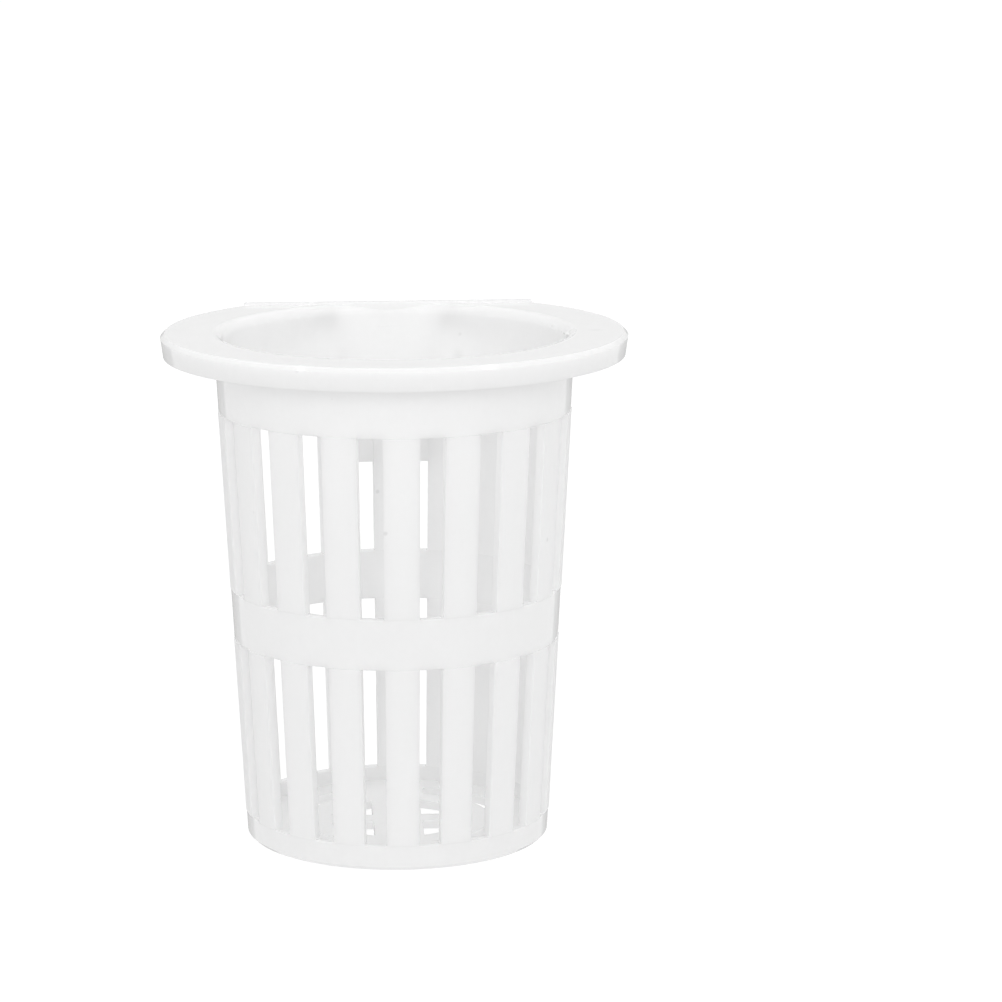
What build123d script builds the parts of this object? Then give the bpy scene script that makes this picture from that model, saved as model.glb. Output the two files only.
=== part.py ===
import os
from math import cos, radians, sqrt, tan

from build123d import *

os.makedirs("parts", exist_ok=True)

# Frame: the pot's axis is Z, the base stands on Z = 0, and the flat side of the rim faces +Y.

# Overall sizes, in millimetres and degrees
total_height = 100.0
rim_diameter = 90.0
base_diameter = 59.0  # outside of the plain bands, at the base plane
wall_taper = 3.08  # outside and inside of the wall alike
wall = 1.6  # thickness at the plain bands
base_bevel = 0.7

# Slots: rows of upright slots round the wall, as tall as the plain bands leave room for
slot_rows = 2
slots_per_row = 18
slot_angle = 8.2  # opening of one slot, seen from the axis
base_band = 5.0  # plain band below the lower row
middle_band = 9.9  # plain band between the rows
collar_band = 10.6  # plain band between the upper row and the rim
stave_stand = 0.15  # how far the staves between the slots stand out from the plain bands

# Rim: a wide flange with a turned-down edge and one straight side
rim_edge = 4.4  # height of the edge
rim_plate = 1.7
rim_skirt = 1.6
rim_bevel = 0.8
rim_draft = 8.0
mouth_round = 2.0
flat_cut = 0.1  # how far the straight side cuts into the wall under the rim
lip_height = 0.5  # lip that stands along the straight side
lip_thickness = 1.2
lip_end_round = 0.45

# Tab: hangs from the straight side, behind the tops of the two middle slots
tab_width = 20.0
tab_drop = 27.7  # below the low edge of the rim
tab_corner = 2.5

# Floor: raised on a foot ring, with four quarter openings and four curved slots round them
floor = 1.7
foot_rise = 0.4
foot_ring = 5.0  # width of the ring that stands on the ground
curved_slot_width = 4.0
curved_slot_bar = 11.8  # bars between the ends of the curved slots
floor_border = 5.6  # plain floor between the curved slots and the wall
floor_ring = 5.1  # plain floor between the curved slots and the quarter openings
drain_bar_across = 4.6  # bar along X
drain_bar_along = 9.6  # bar along Y

# Worked out from the sizes above
rim_top = total_height - lip_height
rim_low = rim_top - rim_edge
rim_radius = rim_diameter / 2
taper_slope = tan(radians(wall_taper))
slot_height = (rim_low - collar_band - base_band - (slot_rows - 1) * middle_band) / slot_rows
row_bottoms = [base_band + row * (slot_height + middle_band) for row in range(slot_rows)]
floor_top = foot_rise + floor
from_base = (Align.CENTER, Align.CENTER, Align.MIN)


def band_radius(z):
    return base_diameter / 2 + z * taper_slope


def stave_radius(z):
    return band_radius(z) + stave_stand


def inner_radius(z):
    return band_radius(z) - wall


# The curved slots keep their distance from the wall, and the quarter openings theirs from the slots
curved_slot_radius = inner_radius(floor_top) - floor_border - curved_slot_width / 2
drain_radius = curved_slot_radius - curved_slot_width / 2 - floor_ring

# The straight side lies almost flush with the outside of the wall under the rim
flat_distance = band_radius(rim_low) - flat_cut
flat_length = 2 * sqrt(rim_radius**2 - flat_distance**2)
skirt_low_radius = rim_radius - (rim_edge - rim_bevel) * tan(radians(rim_draft))
mouth_centre_z = rim_top - mouth_round
mouth_centre = inner_radius(mouth_centre_z) + mouth_round / cos(radians(wall_taper))

with BuildPart() as net_pot:
    # Tapered body, solid at first
    Cone(band_radius(0), band_radius(rim_top), rim_top, align=from_base)
    chamfer(net_pot.edges().filter_by(GeomType.CIRCLE).sort_by(Axis.Z)[0], base_bevel)

    # Belts that become the staves
    for row_bottom in row_bottoms:
        with Locations((0, 0, row_bottom)):
            Cone(
                stave_radius(row_bottom), stave_radius(row_bottom + slot_height),
                slot_height, align=from_base,
            )

    # Flange with a drafted edge and a bevelled top corner
    with BuildSketch(Plane.XZ):
        with BuildLine():
            Polyline(
                (rim_radius, rim_top - rim_bevel), (skirt_low_radius, rim_low), (0, rim_low),
                (0, rim_top), (rim_radius - rim_bevel, rim_top), close=True,
            )
        make_face()
    revolve(axis=Axis.Z)

    # Straight side at the back of the rim
    with Locations((0, flat_distance, rim_low)):
        Box(
            rim_diameter, rim_radius, rim_edge,
            align=(Align.CENTER, Align.MIN, Align.MIN), mode=Mode.SUBTRACT,
        )

    # Hollow under the flange, which leaves the turned-down edge
    with BuildSketch(Plane.XY.offset(rim_low)) as hollow:
        Circle(skirt_low_radius - rim_skirt)
        with Locations((0, flat_distance - rim_skirt)):
            Rectangle(
                rim_diameter, rim_radius, align=(Align.CENTER, Align.MIN), mode=Mode.SUBTRACT
            )
        Circle(band_radius(rim_top - rim_plate), mode=Mode.SUBTRACT)
    extrude(amount=rim_edge - rim_plate, mode=Mode.SUBTRACT)

    # Rounded mouth
    with BuildSketch(Plane.XZ):
        with BuildLine():
            mouth_arc = CenterArc((mouth_centre, mouth_centre_z), mouth_round, 90, 90 - wall_taper)
            Polyline(mouth_arc @ 0, (0, rim_top), (0, mouth_centre_z), mouth_arc @ 1)
        make_face()
    revolve(axis=Axis.Z, mode=Mode.SUBTRACT)

    # Low lip along the straight side
    with BuildSketch(Plane.XZ.offset(-flat_distance)) as lip:
        with Locations((0, mouth_centre_z)):
            Rectangle(
                flat_length, total_height - mouth_centre_z, align=(Align.CENTER, Align.MIN)
            )
        fillet(lip.vertices().group_by(Axis.Y)[-1], lip_end_round)
    extrude(amount=lip_thickness)

    # Inside of the pot, down to the floor
    with Locations((0, 0, floor_top)):
        Cone(
            inner_radius(floor_top), inner_radius(total_height),
            total_height - floor_top, align=from_base, mode=Mode.SUBTRACT,
        )

    # Slots with radial sides, the first pair on either side of the front
    slot_inner = inner_radius(base_band) - wall
    slot_flare = tan(radians(slot_angle / 2))
    slot_outline = [
        (slot_inner, slot_inner * slot_flare),
        (rim_radius, rim_radius * slot_flare),
        (rim_radius, -rim_radius * slot_flare),
        (slot_inner, -slot_inner * slot_flare),
    ]
    for row_bottom in row_bottoms:
        with BuildSketch(Plane.XY.offset(row_bottom)):
            with PolarLocations(0, slots_per_row, start_angle=-90 + 180 / slots_per_row):
                Polygon(slot_outline, align=None)
        extrude(amount=slot_height, mode=Mode.SUBTRACT)

    # Tab in line with the straight side, as thick as the rim's edge
    with BuildSketch(Plane.XZ.offset(-flat_distance)) as tab:
        with Locations((0, rim_low)):
            Rectangle(tab_width, tab_drop, align=(Align.CENTER, Align.MAX))
        fillet(tab.vertices().group_by(Axis.Y)[0], tab_corner)
    extrude(amount=rim_skirt)

    # Foot ring
    with BuildSketch():
        Circle(band_radius(0) - foot_ring)
    extrude(amount=foot_rise, mode=Mode.SUBTRACT)

    # Drain openings through the floor
    with BuildSketch():
        Circle(drain_radius)
        Rectangle(2 * drain_radius, drain_bar_across, mode=Mode.SUBTRACT)
        Rectangle(drain_bar_along, 2 * drain_radius, mode=Mode.SUBTRACT)
    with BuildSketch():
        Circle(curved_slot_radius + curved_slot_width / 2)
        Circle(curved_slot_radius - curved_slot_width / 2, mode=Mode.SUBTRACT)
        Rectangle(base_diameter, curved_slot_bar, mode=Mode.SUBTRACT)
        Rectangle(curved_slot_bar, base_diameter, mode=Mode.SUBTRACT)
    extrude(amount=floor_top, mode=Mode.SUBTRACT)

net_pot.part.label = "net_pot"
export_step(net_pot.part, "parts/net_pot.step")
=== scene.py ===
import math
import bpy
from mathutils import Matrix, Vector


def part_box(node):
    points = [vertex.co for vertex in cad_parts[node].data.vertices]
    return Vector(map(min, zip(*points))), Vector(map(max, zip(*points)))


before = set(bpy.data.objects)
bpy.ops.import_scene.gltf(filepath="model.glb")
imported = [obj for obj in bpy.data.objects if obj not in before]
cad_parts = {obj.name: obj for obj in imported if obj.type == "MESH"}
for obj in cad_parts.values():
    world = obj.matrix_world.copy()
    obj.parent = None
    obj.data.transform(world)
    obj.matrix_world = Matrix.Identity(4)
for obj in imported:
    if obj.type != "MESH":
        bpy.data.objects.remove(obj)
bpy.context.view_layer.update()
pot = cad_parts["net_pot"]
potLow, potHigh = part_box("net_pot")
scene = bpy.context.scene
scene.view_settings.view_transform = "Standard"
print("frame loaded, pot height", round(potHigh.z - potLow.z, 4))

mm = 0.001


def grey(level):
    return (level, level, level, 1.0)


class Wire:
    # one socket of a node tree, so that shader maths reads as plain sums
    def __init__(self, finish, socket):
        self.finish = finish
        self.socket = socket

    def maths(self, operation, first, second):
        return self.finish.add("ShaderNodeMath", {"operation": operation}, {0: first, 1: second})[0]

    def __add__(self, other):
        return self.maths("ADD", self, other)

    def __radd__(self, other):
        return self.maths("ADD", other, self)

    def __sub__(self, other):
        return self.maths("SUBTRACT", self, other)

    def __rsub__(self, other):
        return self.maths("SUBTRACT", other, self)

    def __mul__(self, other):
        return self.maths("MULTIPLY", self, other)

    def __rmul__(self, other):
        return self.maths("MULTIPLY", other, self)

    def over(self, other):
        return self.maths("MAXIMUM", self, other)


class Finish:
    # a node tree and the one way in which nodes are added to it
    def __init__(self, owner):
        owner.use_nodes = True
        self.tree = owner.node_tree
        self.tree.nodes.clear()

    def add(self, kind, settings=None, inputs=None):
        node = self.tree.nodes.new(kind)
        for name, value in (settings or {}).items():
            setattr(node, name, value)
        for name, value in (inputs or {}).items():
            if isinstance(value, Wire):
                self.tree.links.new(value.socket, node.inputs[name])
            else:
                node.inputs[name].default_value = value
        return [Wire(self, socket) for socket in node.outputs]

    def step(self, value, low, high):
        # 0 below low, 1 above high and a smooth rise between them
        settings = {"interpolation_type": "SMOOTHSTEP"}
        inputs = {"Value": value, "From Min": low, "From Max": high}
        return self.add("ShaderNodeMapRange", settings, inputs)[0]

    def noise(self, place, scale, detail):
        inputs = {"Vector": place, "Scale": scale, "Detail": detail}
        return self.add("ShaderNodeTexNoise", None, inputs)[0]

    def vector(self, operation, first, second):
        return self.add("ShaderNodeVectorMath", {"operation": operation}, {0: first, 1: second})

    def colour(self, factor, first, second):
        return self.add("ShaderNodeMix", {"data_type": "RGBA"}, {0: factor, 6: first, 7: second})[2]

    def surface(self, shader):
        self.add("ShaderNodeOutputMaterial", None, {"Surface": shader})


# lengths are in millimetres
plasticLook = dict(
    white=grey(0.96),
    cloud=grey(0.92),  # where the melt cooled a little greyer
    grime=grey(0.55),
    glow=3.5,  # how far light travels inside the thin wall
    bandRough=0.03,  # roughness of the rim, the collar and the plain bands
    staveRough=0.7,  # roughness between the slots
    unevenRough=0.04,  # how far the clouds and the grain add to it
    rows=((5.0, 39.8), (49.7, 84.5)),  # heights of the two slot rows
    rowEdge=0.1,  # height over which polished turns to matt
    # scale and detail of each noise
    clouds=(110.0, 5.0),
    mottle=(900.0, 3.0),
    grain=(2600.0, 2.0),
    drawMarks=(800.0, 2.0),
    drawStretch=(1.0, 1.0, 0.04),  # squeezes the height, so that the marks run upright
    # how far each noise greys the white, and the noise value where that starts
    cloudShade=0.55,
    cloudSpan=(0.3, 0.75),
    mottleShade=0.5,
    mottleStart=0.35,
    drawShade=0.3,
    drawStart=0.4,
    grainDepth=0.006,
    drawDepth=0.014,
    polish=0.15,  # share of those depths left on the bands
    ragged=0.5,  # unevenness of the outlines of specks and smudges
    raggedLevel=0.5,  # the mottle's middle value
    speckCore=0.2,  # share of a speck's half width that is fully dark
    smudgeCore=0.0,
    # dark specks moulded into the plastic: place, half width and how dark
    specks=(
        ((-2.51, 31.13, 61.63), 0.62, 0.34),
        ((-3.03, -33.1, 66.54), 0.6, 0.36),
        ((28.38, -16.77, 61.46), 0.6, 0.3),
        ((-27.53, -18.76, 67.93), 0.5, 0.12),
        ((-12.8, -32.15, 91.79), 0.4, 0.22),
        ((-19.1, -40.5, 98.75), 0.7, 0.24),
        ((14.23, 29.89, 93.79), 0.55, 0.22),
    ),
    # wider smudges of handling
    smudges=(
        ((38.8, -3.0, 99.5), 2.2, 0.16),
        ((13.9, 29.8, 89.5), 2.0, 0.2),
    ),
)


def whitePlastic(look):
    material = bpy.data.materials.new("whitePlastic")
    finish = Finish(material)
    place = finish.add("ShaderNodeTexCoord")[3]  # object coordinates, in metres
    z = finish.add("ShaderNodeSeparateXYZ", None, {"Vector": place})[2]

    # 1 on the staves, 0 on the bands
    staves = 0.0
    edge = look["rowEdge"]
    for low, high in look["rows"]:
        above = finish.step(z, low * mm, (low + edge) * mm)
        below = 1 - finish.step(z, (high - edge) * mm, high * mm)
        staves = above * below + staves

    clouds = finish.noise(place, *look["clouds"])
    mottle = finish.noise(place, *look["mottle"])
    grain = finish.noise(place, *look["grain"])
    # upright marks left as the pot came off its core
    tall = finish.vector("MULTIPLY", place, look["drawStretch"])[0]
    drawMarks = finish.noise(tall, *look["drawMarks"])

    shade = look["cloudShade"] * finish.step(clouds, *look["cloudSpan"])
    shade += look["mottleShade"] * (mottle - look["mottleStart"])
    shade += look["drawShade"] * (drawMarks - look["drawStart"])
    colour = finish.colour(shade, look["white"], look["cloud"])

    ragged = (mottle - look["raggedLevel"]) * (look["ragged"] * mm)
    marks = 0.0
    for spots, core in (("specks", look["speckCore"]), ("smudges", look["smudgeCore"])):
        for spot, half, depth in look[spots]:
            away = finish.vector("DISTANCE", place, tuple(v * mm for v in spot))[1] + ragged
            mark = (1 - finish.step(away, core * half * mm, half * mm)) * depth
            marks = mark.over(marks)
    colour = finish.colour(marks, colour, look["grime"])

    # the staves are more matt than the bands, and keep more of the grain
    rough = look["bandRough"] + staves * (look["staveRough"] - look["bandRough"])
    rough += look["unevenRough"] * (clouds + grain)
    marked = look["polish"] + staves * (1 - look["polish"])
    height = (grain * look["grainDepth"] + drawMarks * look["drawDepth"]) * marked
    bump = finish.add("ShaderNodeBump", None, {"Distance": mm, "Height": height})[0]
    plastic = {
        "Base Color": colour,
        "Roughness": rough,
        "Normal": bump,
        "Subsurface Weight": 1.0,
        "Subsurface Radius": (1.0, 1.0, 1.0),
        "Subsurface Scale": look["glow"] * mm,
    }
    finish.surface(finish.add("ShaderNodeBsdfPrincipled", None, plastic)[0])
    return material


pot.data.materials.clear()
pot.data.materials.append(whitePlastic(plasticLook))
print("pot dressed")

# lengths are in metres, angles in degrees and powers in watts
studio = dict(
    fill=0.74,  # light of the white room on the pot, from all sides
    floorSize=8.0,
    floorWhite=0.92,
    floorGlow=1.12,  # white that the floor shows to the camera
    floorShadow=0.25,  # how much of the pot's shadow the floor shows
    cardDistance=2.0,
    cardHalfAngle=34.0,
    cards=(
        # mirrored by the upright bands at their sides
        dict(name="lowCard", low=-1.35, high=0.1, level=0.55),
        # mirrored by the rim's flat top
        dict(name="highCard", low=0.1, high=1.35, level=0.78),
    ),
    softboxDistance=2.0,
    softboxes=(
        dict(name="ceiling", azimuth=0.0, elevation=88.0, size=0.8, power=4.2),
        dict(name="front", azimuth=0.0, elevation=18.0, size=0.5, power=6.8),
        dict(name="left", azimuth=-60.0, elevation=15.0, size=0.5, power=0.7),
        dict(name="right", azimuth=60.0, elevation=15.0, size=0.5, power=0.7),
        dict(name="back", azimuth=180.0, elevation=30.0, size=0.8, power=6.0),
        dict(name="backRight", azimuth=120.0, elevation=20.0, size=0.8, power=1.5),
    ),
    # small lamps that glint in the rim's corner
    glintDistance=1.2,
    glints=(
        dict(name="rimLeft", azimuth=-83.0, elevation=63.0, size=0.1, power=0.2),
        dict(name="rimRight", azimuth=80.0, elevation=63.0, size=0.1, power=0.2),
    ),
)


def outward(azimuth, elevation):
    # direction from the pot, with azimuth 0 towards the front and positive to the right
    a = math.radians(azimuth)
    e = math.radians(elevation)
    return Vector((math.sin(a) * math.cos(e), -math.cos(a) * math.cos(e), math.sin(e)))


def stagePlane(name, corners, material):
    mesh = bpy.data.meshes.new(name)
    mesh.from_pydata(corners, [], [(0, 1, 2, 3)])
    mesh.materials.append(material)
    plane = bpy.data.objects.new(name, mesh)
    scene.collection.objects.link(plane)
    return plane


def seenRays(finish):
    # 1 for the rays that show the background: straight from the camera, or by gloss or glass
    rays = finish.add("ShaderNodeLightPath")
    camera, gloss, glass = rays[0], rays[3], rays[6]
    return camera.over(gloss).over(glass)


def floorFinish(setting):
    material = bpy.data.materials.new("paleFloor")
    finish = Finish(material)
    matt = finish.add("ShaderNodeBsdfDiffuse", None, {"Color": grey(setting["floorWhite"])})[0]
    glow = {"Color": grey(1.0), "Strength": setting["floorGlow"]}
    white = finish.add("ShaderNodeEmission", None, glow)[0]
    shown = seenRays(finish) * (1 - setting["floorShadow"])
    finish.surface(finish.add("ShaderNodeMixShader", None, {0: shown, 1: matt, 2: white})[0])
    return material


def cardFinish(setting):
    material = bpy.data.materials.new(setting["name"])
    finish = Finish(material)
    glow = {"Color": grey(setting["level"]), "Strength": 1.0}
    finish.surface(finish.add("ShaderNodeEmission", None, glow)[0])
    return material


def layFloor(setting):
    half = setting["floorSize"] / 2
    corners = [(-half, -half, 0.0), (half, -half, 0.0), (half, half, 0.0), (-half, half, 0.0)]
    floor = stagePlane("floor", corners, floorFinish(setting))
    floor.visible_glossy = False
    # the pot stands as on a light table, and the room lights it from below too
    floor.visible_diffuse = False


def hangCard(setting, reach, halfAngle):
    low, high = setting["low"], setting["high"]
    wide = reach * math.tan(math.radians(halfAngle))
    corners = [(-wide, reach, low), (wide, reach, low), (wide, reach, high), (-wide, reach, high)]
    card = stagePlane(setting["name"], corners, cardFinish(setting))
    # seen only in the pot's gloss
    for rays in ("camera", "diffuse", "shadow", "transmission", "volume_scatter"):
        setattr(card, "visible_" + rays, False)


def whiteRoom(setting):
    world = bpy.data.worlds.new("whiteRoom")
    scene.world = world
    finish = Finish(world)
    rays = seenRays(finish)
    strength = rays + (1 - rays) * setting["fill"]
    light = finish.add("ShaderNodeBackground", None, {"Color": grey(1.0), "Strength": strength})[0]
    finish.add("ShaderNodeOutputWorld", None, {"Surface": light})


def hangLamp(setting, distance, inGloss):
    lamp = bpy.data.lights.new(setting["name"], "AREA")
    lamp.energy = setting["power"]
    lamp.size = setting["size"]
    light = bpy.data.objects.new(setting["name"], lamp)
    middle = Vector((0.0, 0.0, (potLow.z + potHigh.z) / 2))
    direction = outward(setting["azimuth"], setting["elevation"])
    light.location = middle + direction * distance
    light.rotation_euler = direction.to_track_quat("Z", "Y").to_euler()
    light.visible_glossy = inGloss
    scene.collection.objects.link(light)


layFloor(studio)
for setting in studio["cards"]:
    hangCard(setting, studio["cardDistance"], studio["cardHalfAngle"])
whiteRoom(studio)
for setting in studio["softboxes"]:
    hangLamp(setting, studio["softboxDistance"], False)
for setting in studio["glints"]:
    hangLamp(setting, studio["glintDistance"], True)
print("studio lit")

photoView = dict(
    azimuth=-2.0,
    elevation=12.656,
    roll=0.397,
    distance=0.77214,
    aimHeight=0.05,
    focalLength=3957.05,  # in pixels of the photograph
    frameSize=1002,
    aimAt=(395.394, 580.609),  # pixel of the photograph where the aim point shows
    sensorWidth=36.0,  # in millimetres
    clipStart=0.01,
)


def photoCamera(view):
    frameSize = view["frameSize"]
    data = bpy.data.cameras.new("photoCamera")
    data.sensor_width = view["sensorWidth"]
    data.lens = view["focalLength"] / frameSize * view["sensorWidth"]
    middle = (frameSize - 1) / 2
    data.shift_x = (middle - view["aimAt"][0]) / frameSize
    data.shift_y = (view["aimAt"][1] - middle) / frameSize
    data.clip_start = view["clipStart"]
    back = outward(view["azimuth"], view["elevation"])
    right = Vector((0.0, 0.0, 1.0)).cross(back).normalized()
    up = back.cross(right)
    roll = math.radians(view["roll"])
    axes = (
        right * math.cos(roll) - up * math.sin(roll),
        right * math.sin(roll) + up * math.cos(roll),
        back,
    )
    place = Vector((0.0, 0.0, view["aimHeight"])) + back * view["distance"]
    camera = bpy.data.objects.new("photoCamera", data)
    camera.matrix_world = Matrix.Translation(place) @ Matrix(axes).transposed().to_4x4()
    scene.collection.objects.link(camera)
    scene.camera = camera


photoCamera(photoView)
print("camera set")
